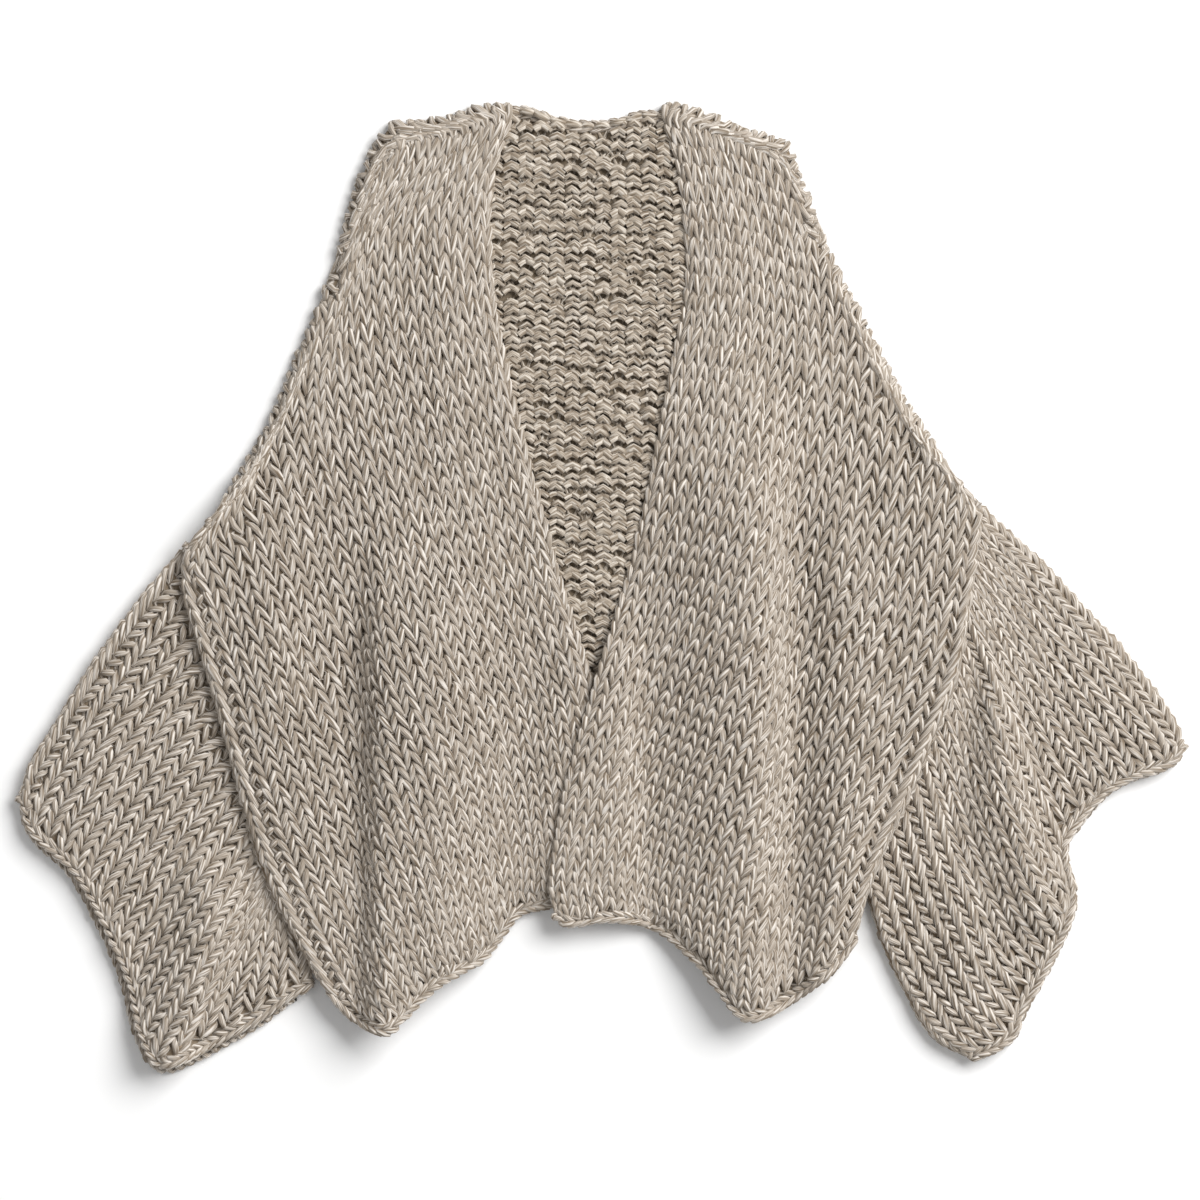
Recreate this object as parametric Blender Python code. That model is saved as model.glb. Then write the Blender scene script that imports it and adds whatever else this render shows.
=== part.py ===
"""Chunky knitted open cardigan, laid flat on its back.

Five pieces of cloth: a back, two fronts and two sleeves. The garment lies on the XY plane with +Z up
and its neck towards +Y. Each piece is a wall of real thickness round a mid surface. That surface is
stretched between the piece's edges, and a short table of folds lifts it. All sizes are in millimetres
until a mesh is made.
"""

import math
from collections import namedtuple

import bpy
import numpy as np

METRES = 0.001

WALL = 5.0
HALF = WALL / 2
SEAM_GAP = 0.3
FOLD_RADIUS = 3.5
ON_FLOOR = HALF
ON_BACK = WALL + SEAM_GAP + HALF
SLEEVE_TOP = ON_FLOOR + 2 * FOLD_RADIUS
ON_SLEEVE = SLEEVE_TOP + HALF + SEAM_GAP + HALF
SIDE_FOLD_TOP = ON_SLEEVE + 2 * FOLD_RADIUS
ROLL_RADIUS = 7.0
ROLL_RADIUS_AT_SLEEVE = 4.5
SIDE_RETURN = 12.0
LIFT_START_AT_ARM = 0.80
LIFT_START = 0.60
LIFT_END = 0.88
HEM_DROP = ON_BACK - ON_FLOOR - SEAM_GAP
HEM_DROP_START = 19.0
HEM_DROP_END = 3.0
RIGHT_CUFF_PEEK = 5.0
LEFT_CUFF_PEEK = 1.5

FRONT_COLUMNS = 24
FRONT_ROWS = 26
SLEEVE_COLUMNS = 15
SLEEVE_ROWS = 15
BACK_COLUMNS = 20
BACK_ROWS = 16
FOLD_STEPS = 4
ROLL_STEPS = 3

# Points on an edge, x across the garment and y towards the neck.
Point = namedtuple("Point", "x y")

RIGHT_FRONT_EDGE = [
    Point(-68, 362), Point(-82, 318), Point(-85, 282), Point(-82, 225), Point(-72, 170), Point(-55, 98),
    Point(-29, 0), Point(-6, -78), Point(2, -150), Point(3, -232),
]
RIGHT_SHOULDER_AND_ARM = [
    Point(-68, 363), Point(-94, 359), Point(-117, 352), Point(-139, 349), Point(-162, 345),
    Point(-186, 303), Point(-204, 243), Point(-228, 183), Point(-255, 123), Point(-290, 63),
    Point(-315, 29),
]
RIGHT_SIDE_FOLD = [
    Point(-315, 29), Point(-313, -12), Point(-300, -62), Point(-285, -118), Point(-272, -170),
    Point(-258, -219), Point(-238, -262), Point(-208, -314),
]
RIGHT_HEM = [
    Point(3, -232), Point(-38, -243), Point(-60, -249), Point(-75, -267), Point(-90, -284),
    Point(-120, -300), Point(-135, -312), Point(-150, -327), Point(-164, -338), Point(-188, -330),
    Point(-209, -310),
]

LEFT_FRONT_EDGE = [
    Point(49, 362), Point(60, 325), Point(67, 268), Point(65, 220), Point(56, 175), Point(30, 48),
    Point(-8, -80), Point(-27, -147), Point(-38, -213), Point(-36, -241),
]
LEFT_SHOULDER_AND_ARM = [
    Point(49, 363), Point(75, 357), Point(97, 348), Point(120, 339), Point(142, 334), Point(155, 303),
    Point(180, 243), Point(211, 183), Point(245, 123), Point(287, 61),
]
LEFT_SIDE_FOLD = [
    Point(287, 59), Point(284, 20), Point(280, -20), Point(273, -72), Point(257, -118),
    Point(240, -162), Point(212, -228), Point(199, -274),
]
LEFT_HEM = [
    Point(-36, -249), Point(-27, -256), Point(0, -253), Point(22, -254), Point(45, -262),
    Point(75, -287), Point(105, -323), Point(117, -327), Point(135, -321), Point(165, -303),
    Point(183, -286), Point(196, -269),
]

BACK_TOP = [
    Point(-152, 333), Point(-112, 345), Point(-62, 353), Point(-36, 349), Point(-12, 346), Point(14, 349),
    Point(38, 353), Point(92, 340), Point(131, 325),
]
BACK_RIGHT_SIDE = [
    Point(-152, 333), Point(-174, 300), Point(-193, 239), Point(-217, 178), Point(-241, 116),
    Point(-272, 62), Point(-290, 26), Point(-285, -62), Point(-263, -144), Point(-229, -214),
    Point(-204, -276),
]
BACK_LEFT_SIDE = [
    Point(131, 323), Point(145, 297), Point(169, 238), Point(200, 177), Point(231, 116), Point(256, 74),
    Point(261, 48), Point(261, 20), Point(253, -72), Point(224, -156), Point(189, -219), Point(160, -266),
]
BACK_HEM = [
    Point(-204, -276), Point(-163, -295), Point(-124, -260), Point(-82, -224), Point(-36, -202),
    Point(15, -206), Point(56, -224), Point(84, -248), Point(116, -278), Point(138, -280),
    Point(160, -266),
]

RIGHT_SLEEVE_TOP = [
    Point(-293, 34), Point(-313, 30), Point(-327, 18), Point(-352, -12), Point(-374, -42),
    Point(-395, -72), Point(-413, -102), Point(-432, -132), Point(-441, -160),
]
RIGHT_CUFF = [
    Point(-441, -160), Point(-432, -186), Point(-407, -207), Point(-392, -225), Point(-372, -260),
    Point(-355, -297), Point(-350, -316), Point(-343, -339), Point(-333, -357), Point(-321, -360),
    Point(-300, -351), Point(-278, -340), Point(-255, -328), Point(-233, -313), Point(-212, -301),
]
RIGHT_SLEEVE_LOW = [
    Point(-231, -215), Point(-221, -256), Point(-212, -301),
]
RIGHT_ARMHOLE = [
    Point(-293, 34), Point(-287, -62), Point(-265, -145), Point(-231, -215),
]

LEFT_SLEEVE_TOP = [
    Point(266, 72), Point(286, 61), Point(299, 48), Point(333, 18), Point(361, -12), Point(390, -42),
    Point(414, -72), Point(435, -102), Point(443, -121),
]
LEFT_CUFF = [
    Point(443, -121), Point(434, -134), Point(399, -147), Point(378, -162), Point(354, -192),
    Point(351, -207), Point(357, -241), Point(341, -282), Point(316, -327), Point(309, -345),
    Point(292, -357), Point(279, -362),
]
LEFT_SLEEVE_LOW = [
    Point(191, -218), Point(200, -245), Point(210, -277), Point(225, -308), Point(240, -336),
    Point(256, -352), Point(279, -362),
]
LEFT_ARMHOLE = [Point(266, 72), Point(264, 20), Point(256, -72), Point(226, -155), Point(191, -218)]

# One fold: its crest from (x0, y0) to (x1, y1), the height there, how far it falls on the side of lower
# x and of higher x, the lengths over which it rises at its two ends, and how wide its top is, towards
# higher x from the crest line where that is positive and towards lower x where it is negative.
Fold = namedtuple("Fold", "x0 y0 x1 y1 height lower higher rise0 rise1 flat")

RIGHT_FRONT_FOLDS = [
    Fold(-158, 100, -158, -345, 24, 27, 72, 190, 20, 28),
    Fold(-236, 60, -262, -150, 5, 40, 40, 90, 80, 0),
    Fold(-110, 300, -112, 120, 3, 40, 36, 60, 60, 0),
]
LEFT_FRONT_FOLDS = [
    Fold(116, 200, 112, -345, 26, 90, 34, 170, 20, 0),
    Fold(184, 120, 178, -300, 11, 32, 46, 120, 60, 0),
    Fold(92, 320, 96, 170, 3, 36, 40, 60, 60, 0),
]
RIGHT_SLEEVE_FOLDS = [
    Fold(-268, -190, -318, -358, 20, 50, 17, 40, 15, 0),
    Fold(-352, -60, -392, -170, 4, 40, 40, 60, 60, 0),
]
LEFT_SLEEVE_FOLDS = [
    Fold(275, -30, 332, -240, 17, 50, 20, 60, 30, 0),
    Fold(258, -200, 284, -352, 7, 34, 44, 60, 30, 0),
    Fold(352, -58, 402, -112, 4, 36, 36, 40, 40, 0),
]


def smooth(value):
    """A soft step from 0 to 1 as value goes from 0 to 1."""
    t = np.clip(value, 0.0, 1.0)
    return t * t * (3.0 - 2.0 * t)


def curve(points, count, by_x=False, samples=40):
    """Even points on a smooth line through the given ones, spaced by length or by x."""
    knots = np.array(points, float)
    padded = np.vstack([2 * knots[0] - knots[1], knots, 2 * knots[-1] - knots[-2]])
    line = []
    for i in range(1, len(padded) - 2):
        before, start, end, after = padded[i - 1:i + 3]
        for t in np.arange(samples) / samples:
            line.append(0.5 * (2 * start + (end - before) * t
                               + (2 * before - 5 * start + 4 * end - after) * t ** 2
                               + (3 * start - before - 3 * end + after) * t ** 3))
    line = np.array(line + [knots[-1]])
    steps = np.abs(np.diff(line[:, 0])) if by_x else np.linalg.norm(np.diff(line, axis=0), axis=1)
    along = np.concatenate([[0.0], np.cumsum(steps)])
    wanted = np.linspace(0.0, along[-1], count)
    return np.column_stack([np.interp(wanted, along, line[:, k]) for k in range(2)])


def outward(line, side):
    """Unit vectors square to a line in plan, to its left (side 1) or its right (side -1)."""
    way = np.gradient(line, axis=0)
    way /= np.linalg.norm(way, axis=1)[:, None]
    return side * np.column_stack([-way[:, 1], way[:, 0]])


def tie(line, start, end):
    """The same line with its ends moved to two given places, the shift fading along it."""
    share = np.linspace(0, 1, len(line))[:, None]
    return line + (1 - share) * (start - line[0]) + share * (end - line[-1])


def inset(start_row, end_row, start_column, end_column):
    """Four edges moved inwards, each given as (line, shift at each point), that still meet."""
    row_0, shift_0 = start_row
    row_1, shift_1 = end_row
    column_0, shift_2 = start_column
    column_1, shift_3 = end_column
    first = row_0[0] - shift_0[0] - shift_2[0]
    second = row_0[-1] - shift_0[-1] - shift_3[0]
    third = row_1[0] - shift_1[0] - shift_2[-1]
    fourth = row_1[-1] - shift_1[-1] - shift_3[-1]
    return (tie(row_0 - shift_0, first, second), tie(row_1 - shift_1, third, fourth),
            tie(column_0 - shift_2, first, third), tie(column_1 - shift_3, second, fourth))


def patch(start_row, end_row, start_column, end_column):
    """Plan points stretched between four edges: rows run from the first row to the last."""
    rows, columns = len(start_column), len(start_row)
    u = np.linspace(0, 1, columns)[None, :, None]
    v = np.linspace(0, 1, rows)[:, None, None]
    between_rows = (1 - v) * start_row[None] + v * end_row[None]
    between_columns = (1 - u) * start_column[:, None] + u * end_column[:, None]
    corners = ((1 - v) * ((1 - u) * start_row[0] + u * start_row[-1])
               + v * ((1 - u) * end_row[0] + u * end_row[-1]))
    return between_rows + between_columns - corners


def fold_height(x, y, folds):
    """How far the folds lift the cloth at a place."""
    total = np.zeros_like(x)
    for fold in folds:
        length = math.hypot(fold.x1 - fold.x0, fold.y1 - fold.y0)
        way_x = (fold.x1 - fold.x0) / length
        way_y = (fold.y1 - fold.y0) / length
        along = (x - fold.x0) * way_x + (y - fold.y0) * way_y
        across = (x - fold.x0) * -way_y + (y - fold.y0) * way_x
        across = across - np.clip(across, min(fold.flat, 0), max(fold.flat, 0))
        width = np.where(across > 0, fold.higher, fold.lower)
        ends = smooth(along / fold.rise0) * smooth((length + fold.rise1 - along) / fold.rise1)
        total += fold.height * ends * (1 - smooth(np.abs(across) / width))
    return total


def wall(name, middle, ring, colour):
    """One closed solid: a wall of cloth on both sides of a grid of middle points."""
    rows, columns = middle.shape[:2]
    if ring:
        across = np.roll(middle, -1, axis=1) - np.roll(middle, 1, axis=1)
    else:
        across = np.gradient(middle, axis=1)
    down = np.gradient(middle, axis=0)
    normal = np.cross(down, across)
    normal /= np.linalg.norm(normal, axis=2)[:, :, None]
    outer = middle + HALF * normal
    inner = middle - HALF * normal
    points = np.concatenate([outer.reshape(-1, 3), inner.reshape(-1, 3)])
    points[:, 2] = np.maximum(points[:, 2], 0.0)
    second = rows * columns
    faces = []
    last = columns if ring else columns - 1
    for i in range(rows - 1):
        for j in range(last):
            k = (j + 1) % columns
            a, b, c, d = i * columns + j, i * columns + k, (i + 1) * columns + k, (i + 1) * columns + j
            faces.append((a, d, c, b))
            faces.append((second + a, second + b, second + c, second + d))
    for j in range(last):
        k = (j + 1) % columns
        bottom = (rows - 1) * columns
        faces.append((j, k, second + k, second + j))
        faces.append((bottom + k, bottom + j, second + bottom + j, second + bottom + k))
    if not ring:
        for i in range(rows - 1):
            a, b = i * columns, (i + 1) * columns
            c, d = a + columns - 1, b + columns - 1
            faces.append((b, a, second + a, second + b))
            faces.append((c, d, second + d, second + c))
    mesh = bpy.data.meshes.new(name)
    mesh.from_pydata((points * METRES).tolist(), [], faces)
    mesh.update()
    mesh.shade_smooth()
    mesh.set_sharp_from_angle(angle=math.radians(50))
    material = bpy.data.materials.new(name + "_wool")
    material.use_nodes = True
    shader = material.node_tree.nodes["Principled BSDF"]
    shader.inputs["Base Color"].default_value = (*colour, 1.0)
    shader.inputs["Roughness"].default_value = 0.92
    shader.inputs["Metallic"].default_value = 0.0
    mesh.materials.append(material)
    piece = bpy.data.objects.new(name, mesh)
    bpy.context.scene.collection.objects.link(piece)
    return piece


def front(name, arm_line, hem_line, edge_line, side_line, folds, turn, over, colour):
    """A front: open edge, hem, a top that rolls down to the floor and a side fold on the sleeve.

    turn is 1 where the plan runs towards lower x from the open edge, and -1 on the other front. over
    says how far the cloth is lifted where it crosses the other front.
    """
    arm = curve(arm_line, FRONT_COLUMNS, by_x=True)
    hem = curve(hem_line, FRONT_COLUMNS)
    edge = curve(edge_line, FRONT_ROWS)
    side = curve(side_line, FRONT_ROWS)
    u = np.linspace(0, 1, FRONT_COLUMNS)
    lift_at_sleeve = smooth((u - 0.82) / 0.12)
    roll = ROLL_RADIUS + (ROLL_RADIUS_AT_SLEEVE - ROLL_RADIUS) * lift_at_sleeve
    side_out = outward(side, -turn)
    side_start = (side[0] - side[1]) / np.linalg.norm(side[0] - side[1])
    arm_out = outward(arm, -turn) * (1 - lift_at_sleeve)[:, None] + side_start * lift_at_sleeve[:, None]
    arm_out /= np.linalg.norm(arm_out, axis=1)[:, None]
    edge_out = outward(edge, turn)
    hem_out = outward(hem, turn)
    plan = patch(*inset((arm, arm_out * (roll + HALF)[:, None]), (hem, hem_out * HALF),
                        (edge, edge_out * HALF), (side, side_out * (FOLD_RADIUS + HALF))))
    x, y = plan[:, :, 0], plan[:, :, 1]
    wale = np.linalg.norm(np.diff(plan, axis=0), axis=2)
    to_hem = np.vstack([np.cumsum(wale[::-1], axis=0)[::-1], np.zeros((1, FRONT_COLUMNS))])
    crossing = over(x, y)
    v = np.linspace(0, 1, FRONT_ROWS)[:, None]
    lift_start = LIFT_START_AT_ARM + (LIFT_START - LIFT_START_AT_ARM) * smooth(v / 0.15)
    lift_share = smooth((u[None] - lift_start) / (LIFT_END - lift_start))
    side_lift = (SIDE_FOLD_TOP - ON_BACK) * lift_share
    drop = HEM_DROP * smooth((HEM_DROP_START - to_hem) / (HEM_DROP_START - HEM_DROP_END))
    free = (1 - lift_share) * (crossing < 0.01)
    ends = 1 - smooth((u - 0.84) / 0.14)
    z = ON_BACK + side_lift + fold_height(x, y, folds) * ends[None]
    z = z + crossing - drop * free
    z[:, -1] = SIDE_FOLD_TOP
    body = np.dstack([x, y, z])
    rows = []
    roll_depth = (body[0, :, 2] - SEAM_GAP) * (1 - lift_at_sleeve)
    for step in range(ROLL_STEPS, 0, -1):
        angle = 0.5 * math.pi * step / ROLL_STEPS
        plan_row = body[0, :, :2] + arm_out * (roll * math.sin(angle))[:, None]
        z_row = body[0, :, 2] - roll_depth * (1 - math.cos(angle))
        rows.append(np.column_stack([plan_row, z_row]))
    middle = np.concatenate([np.array(rows), body])
    side_way = np.vstack([np.repeat(side_out[:1], ROLL_STEPS, axis=0), side_out])
    columns = []
    for step in range(1, FOLD_STEPS + 1):
        angle = math.pi * step / FOLD_STEPS
        plan_column = middle[:, -1, :2] + side_way * FOLD_RADIUS * math.sin(angle)
        z_column = middle[:, -1, 2] - FOLD_RADIUS * (1 - math.cos(angle))
        columns.append(np.column_stack([plan_column, z_column]))
    back_plan = columns[-1][:, :2] - side_way * SIDE_RETURN
    columns.append(np.column_stack([back_plan, columns[-1][:, 2]]))
    middle = np.concatenate([middle, np.array(columns).transpose(1, 0, 2)], axis=1)
    if turn < 0:
        middle = middle[:, ::-1]
    return wall(name, middle, False, colour)


def sleeve(name, top_line, cuff_line, low_line, arm_line, folds, peek, turn, colour):
    """A sleeve: a tube pressed flat, folded along its top and underarm, open at armhole and cuff.

    peek says how far the lower layer shows past the upper one at the cuff.
    """
    top = curve(top_line, SLEEVE_ROWS)
    low = curve(low_line, SLEEVE_ROWS)
    cuff = curve(cuff_line, SLEEVE_COLUMNS)
    armhole = curve(arm_line, SLEEVE_COLUMNS)
    top_out = outward(top, -turn)
    low_out = outward(low, turn)
    cuff_out = outward(cuff, -turn)
    plan = patch(*inset((armhole, np.zeros_like(armhole)), (cuff, cuff_out * HALF),
                        (top, top_out * (FOLD_RADIUS + HALF)), (low, low_out * (FOLD_RADIUS + HALF))))
    x, y = plan[:, :, 0], plan[:, :, 1]
    t = np.linspace(0, 1, SLEEVE_ROWS)[:, None]
    s = np.linspace(0, 1, SLEEVE_COLUMNS)[None, :]
    free = smooth((t - 0.16) / 0.3) * np.sin(math.pi * s) ** 0.35
    z = SLEEVE_TOP + fold_height(x, y, folds) * free
    upper = np.dstack([x, y, z])
    peek_here = peek * smooth((t - 0.6) / 0.4) * np.sin(math.pi * s) ** 0.5
    lower = np.dstack([x, y, np.full_like(x, ON_FLOOR)])
    lower[:, :, :2] += peek_here[:, :, None] * cuff_out[None]
    ring = [upper[:, j] for j in range(SLEEVE_COLUMNS)]
    ring += turned(upper[:, -1], low_out)
    ring += [lower[:, j] for j in range(SLEEVE_COLUMNS - 1, -1, -1)]
    ring += turned(upper[:, 0], top_out)[::-1]
    middle = np.array(ring).transpose(1, 0, 2)
    if turn < 0:
        middle = middle[:, ::-1]
    return wall(name, middle, True, colour)


def turned(start, way):
    """The columns that carry a folded edge from the upper layer round to the lower one."""
    columns = []
    for step in range(1, FOLD_STEPS):
        angle = math.pi * step / FOLD_STEPS
        plan = start[:, :2] + way * FOLD_RADIUS * math.sin(angle)
        z = start[:, 2] - FOLD_RADIUS * (1 - math.cos(angle))
        columns.append(np.column_stack([plan, z]))
    return columns


def back(name, colour):
    """The back: one flat wall from the neck to the hem."""
    plan = patch(curve(BACK_TOP, BACK_COLUMNS), curve(BACK_HEM, BACK_COLUMNS),
                 curve(BACK_RIGHT_SIDE, BACK_ROWS), curve(BACK_LEFT_SIDE, BACK_ROWS))
    middle = np.dstack([plan, np.full(plan.shape[:2], ON_FLOOR)])
    return wall(name, middle, False, colour)


def no_crossing(x, y):
    """The right front lies straight on the back."""
    return np.zeros_like(x)


def over_right_front(x, y):
    """The left front climbs onto the right front below the point of the neck opening."""
    return (WALL + SEAM_GAP) * smooth((38 - x) / 30) * smooth((-2 - y) / 60)


def clear_scene():
    for item in list(bpy.data.objects):
        bpy.data.objects.remove(item, do_unlink=True)


def main():
    clear_scene()
    back("back", (0.36, 0.32, 0.27))
    sleeve("right_sleeve", RIGHT_SLEEVE_TOP, RIGHT_CUFF, RIGHT_SLEEVE_LOW, RIGHT_ARMHOLE,
           RIGHT_SLEEVE_FOLDS, RIGHT_CUFF_PEEK, 1, (0.41, 0.37, 0.31))
    sleeve("left_sleeve", LEFT_SLEEVE_TOP, LEFT_CUFF, LEFT_SLEEVE_LOW, LEFT_ARMHOLE,
           LEFT_SLEEVE_FOLDS, LEFT_CUFF_PEEK, -1, (0.41, 0.37, 0.31))
    front("right_front", RIGHT_SHOULDER_AND_ARM, RIGHT_HEM, RIGHT_FRONT_EDGE, RIGHT_SIDE_FOLD,
          RIGHT_FRONT_FOLDS, 1, no_crossing, (0.44, 0.40, 0.34))
    front("left_front", LEFT_SHOULDER_AND_ARM, LEFT_HEM, LEFT_FRONT_EDGE, LEFT_SIDE_FOLD,
          LEFT_FRONT_FOLDS, -1, over_right_front, (0.45, 0.41, 0.35))


main()
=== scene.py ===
# %% [markdown]
# A hand-knitted open cardigan, laid flat and seen from straight above.
# The cloth is very thick yarn in stockinette, so each stitch is as large as a button. A printed pattern
# would look flat from the side, so the yarn is modelled: every stitch is a real loop of a tube that
# follows the cloth. This notebook first rebuilds the cloth as smooth surfaces, then lays wales and
# rows on them, and then runs the yarn along those.

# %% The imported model
import math

import bpy
import numpy as np
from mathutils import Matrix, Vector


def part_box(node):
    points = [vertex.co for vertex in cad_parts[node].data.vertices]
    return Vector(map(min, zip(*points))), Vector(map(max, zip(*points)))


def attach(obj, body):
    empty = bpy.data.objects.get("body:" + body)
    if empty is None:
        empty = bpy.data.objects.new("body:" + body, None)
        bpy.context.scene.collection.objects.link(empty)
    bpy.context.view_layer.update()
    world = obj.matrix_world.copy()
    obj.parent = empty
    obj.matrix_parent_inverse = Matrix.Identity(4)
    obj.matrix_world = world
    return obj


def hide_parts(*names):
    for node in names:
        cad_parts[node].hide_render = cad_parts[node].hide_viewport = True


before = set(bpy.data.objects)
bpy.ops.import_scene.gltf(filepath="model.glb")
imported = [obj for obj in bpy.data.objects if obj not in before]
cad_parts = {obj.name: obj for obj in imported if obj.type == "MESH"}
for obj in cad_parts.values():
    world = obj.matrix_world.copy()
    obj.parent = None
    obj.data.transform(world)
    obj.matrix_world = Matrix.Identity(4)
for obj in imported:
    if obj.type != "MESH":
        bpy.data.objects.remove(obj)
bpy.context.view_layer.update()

for name in sorted(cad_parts):
    low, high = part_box(name)
    print(name, [round(h - l, 3) for l, h in zip(low, high)])

# %% [markdown]
# The same sizes as in the CAD source, in millimetres. A few of them are a little fuller here, because
# the yarn stands proud of the plain wall that stands in for it. HALF is half the thickness of the cloth.
# ON_FLOOR, ON_BACK and ON_SLEEVE are the heights of the middle of the cloth where it lies on the floor,
# on the back and on a sleeve. The lift values say at which share of its width a front leaves the back
# to climb onto the sleeve, and HEM_DROP how far its hem sinks to the floor.

# %% Sizes
METRES = 0.001
HALF = 2.5
FOLD_RADIUS = 3.5
ON_FLOOR = 4.4
ON_BACK = 9.8
SLEEVE_TOP = ON_FLOOR + 2 * FOLD_RADIUS
ON_SLEEVE = 14.8
SIDE_FOLD_TOP = ON_SLEEVE + 2 * FOLD_RADIUS
SIDE_RETURN = 12.0
ROLL_RADIUS = 7.0
ROLL_RADIUS_AT_SLEEVE = 4.5
LIFT_START_AT_ARM = 0.80
LIFT_START = 0.60
LIFT_END = 0.88
HEM_DROP = 5.0
HEM_DROP_START = 19.0
HEM_DROP_END = 3.0

# %% [markdown]
# Cloth has no straight lines, so each edge is a smooth curve through a few measured points. A patch is
# then stretched between four such edges. This is what a lofted surface does by hand, but as numbers it
# stays even, which the stitches need.

# %% Curves
def smooth(value):
    """A soft step from 0 to 1 as value goes from 0 to 1."""
    t = np.clip(value, 0.0, 1.0)
    return t * t * (3.0 - 2.0 * t)


def running_mean(values, reach):
    """Each value as the mean of itself and its neighbours up to reach away."""
    count = 2 * reach + 1
    return np.convolve(np.pad(values, reach, mode="edge"), np.ones(count) / count, mode="valid")


def curve(points, count, by_x=False, samples=40):
    """Even points on a smooth line through the given ones, spaced by length or by x."""
    knots = np.array(points, float)
    padded = np.vstack([2 * knots[0] - knots[1], knots, 2 * knots[-1] - knots[-2]])
    line = []
    for i in range(1, len(padded) - 2):
        before, start, end, after = padded[i - 1:i + 3]
        for t in np.arange(samples) / samples:
            line.append(0.5 * (2 * start + (end - before) * t
                               + (2 * before - 5 * start + 4 * end - after) * t ** 2
                               + (3 * start - before - 3 * end + after) * t ** 3))
    line = np.array(line + [knots[-1]])
    steps = np.abs(np.diff(line[:, 0])) if by_x else np.linalg.norm(np.diff(line, axis=0), axis=1)
    along = np.concatenate([[0.0], np.cumsum(steps)])
    wanted = np.linspace(0.0, along[-1], count)
    return np.column_stack([np.interp(wanted, along, line[:, k]) for k in range(line.shape[1])])


def outward(line, side):
    """Unit vectors square to a line in plan, to its left (side 1) or its right (side -1)."""
    way = np.gradient(line, axis=0)
    way /= np.linalg.norm(way, axis=1)[:, None]
    return side * np.column_stack([-way[:, 1], way[:, 0]])


# %% [markdown]
# The stitches lie a little inside the outline, by half the cloth's thickness or by the radius of a fold.
# So the four edges of a panel are first moved inwards, and a patch is then stretched between them: each
# point is a blend of the edges on its two sides. That is the formula behind a lofted surface.

# %% Patches
def tie(line, start, end):
    """The same line with its ends moved to two given places, the shift fading along it."""
    share = np.linspace(0, 1, len(line))[:, None]
    return line + (1 - share) * (start - line[0]) + share * (end - line[-1])


def inset(start_row, end_row, start_column, end_column):
    """Four edges moved inwards, each given as (line, shift at each point), that still meet."""
    row_0, shift_0 = start_row
    row_1, shift_1 = end_row
    column_0, shift_2 = start_column
    column_1, shift_3 = end_column
    first = row_0[0] - shift_0[0] - shift_2[0]
    second = row_0[-1] - shift_0[-1] - shift_3[0]
    third = row_1[0] - shift_1[0] - shift_2[-1]
    fourth = row_1[-1] - shift_1[-1] - shift_3[-1]
    return (tie(row_0 - shift_0, first, second), tie(row_1 - shift_1, third, fourth),
            tie(column_0 - shift_2, first, third), tie(column_1 - shift_3, second, fourth))


def patch(start_row, end_row, start_column, end_column):
    """Plan points stretched between four edges: rows run from the first row to the last."""
    u = np.linspace(0, 1, len(start_row))[None, :, None]
    v = np.linspace(0, 1, len(start_column))[:, None, None]
    between_rows = (1 - v) * start_row[None] + v * end_row[None]
    between_columns = (1 - u) * start_column[:, None] + u * end_column[:, None]
    corners = ((1 - v) * ((1 - u) * start_row[0] + u * start_row[-1])
               + v * ((1 - u) * end_row[0] + u * end_row[-1]))
    return between_rows + between_columns - corners


# %% [markdown]
# A fold in heavy knitwear is a long soft ridge that rises from nothing and ends at the hem. It could be
# simulated, but the photographed folds lie in certain places, so each is given one by one: where its crest
# runs, how high it is, and how steeply it falls on its two sides.

# %% The height of folds
def fold_height(x, y, folds):
    """How far the folds lift the cloth at a place. A row of folds: crest from (x0, y0) to (x1, y1),
    height, width on the side of lower x and of higher x, the lengths over which it rises at its ends,
    and how wide its top is, towards higher x from the crest line, or towards lower x if negative."""
    total = np.zeros_like(x)
    for x0, y0, x1, y1, height, lower, higher, rise0, rise1, flat in folds:
        length = math.hypot(x1 - x0, y1 - y0)
        way_x, way_y = (x1 - x0) / length, (y1 - y0) / length
        along = (x - x0) * way_x + (y - y0) * way_y
        across = (x - x0) * -way_y + (y - y0) * way_x
        across = across - np.clip(across, min(flat, 0), max(flat, 0))
        width = np.where(across > 0, higher, lower)
        ends = smooth(along / rise0) * smooth((length + rise1 - along) / rise1)
        total += height * ends * (1 - smooth(np.abs(across) / width))
    return total


# %% [markdown]
# The folds of this garment, in millimetres. Each front has one high fold that ends in a point of the hem
# and a few low ones; each sleeve has one near its cuff. They differ in length, height and slope, because
# equal folds would look like a curtain.

# %% The folds
RIGHT_FRONT_FOLDS = [
    (-158, 100, -158, -345, 24, 27, 72, 190, 20, 28),
    (-14, 0, -30, -240, 5, 34, 30, 60, 20, 0),
    (-236, 60, -262, -150, 5, 40, 40, 90, 80, 0),
    (-110, 300, -112, 120, 3, 40, 36, 60, 60, 0),
]
LEFT_FRONT_FOLDS = [
    (116, 200, 112, -345, 26, 90, 34, 170, 20, 0),
    (184, 120, 178, -300, 11, 32, 46, 120, 60, 0),
    (92, 320, 96, 170, 3, 36, 40, 60, 60, 0),
]
RIGHT_SLEEVE_FOLDS = [
    (-268, -190, -318, -358, 20, 50, 17, 40, 15, 0),
    (-352, -60, -392, -170, 4, 40, 40, 60, 60, 0),
]
LEFT_SLEEVE_FOLDS = [
    (275, -30, 332, -240, 17, 50, 20, 60, 30, 0),
    (258, -200, 284, -352, 7, 34, 44, 60, 30, 0),
    (352, -58, 402, -112, 4, 36, 36, 40, 40, 0),
]

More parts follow.
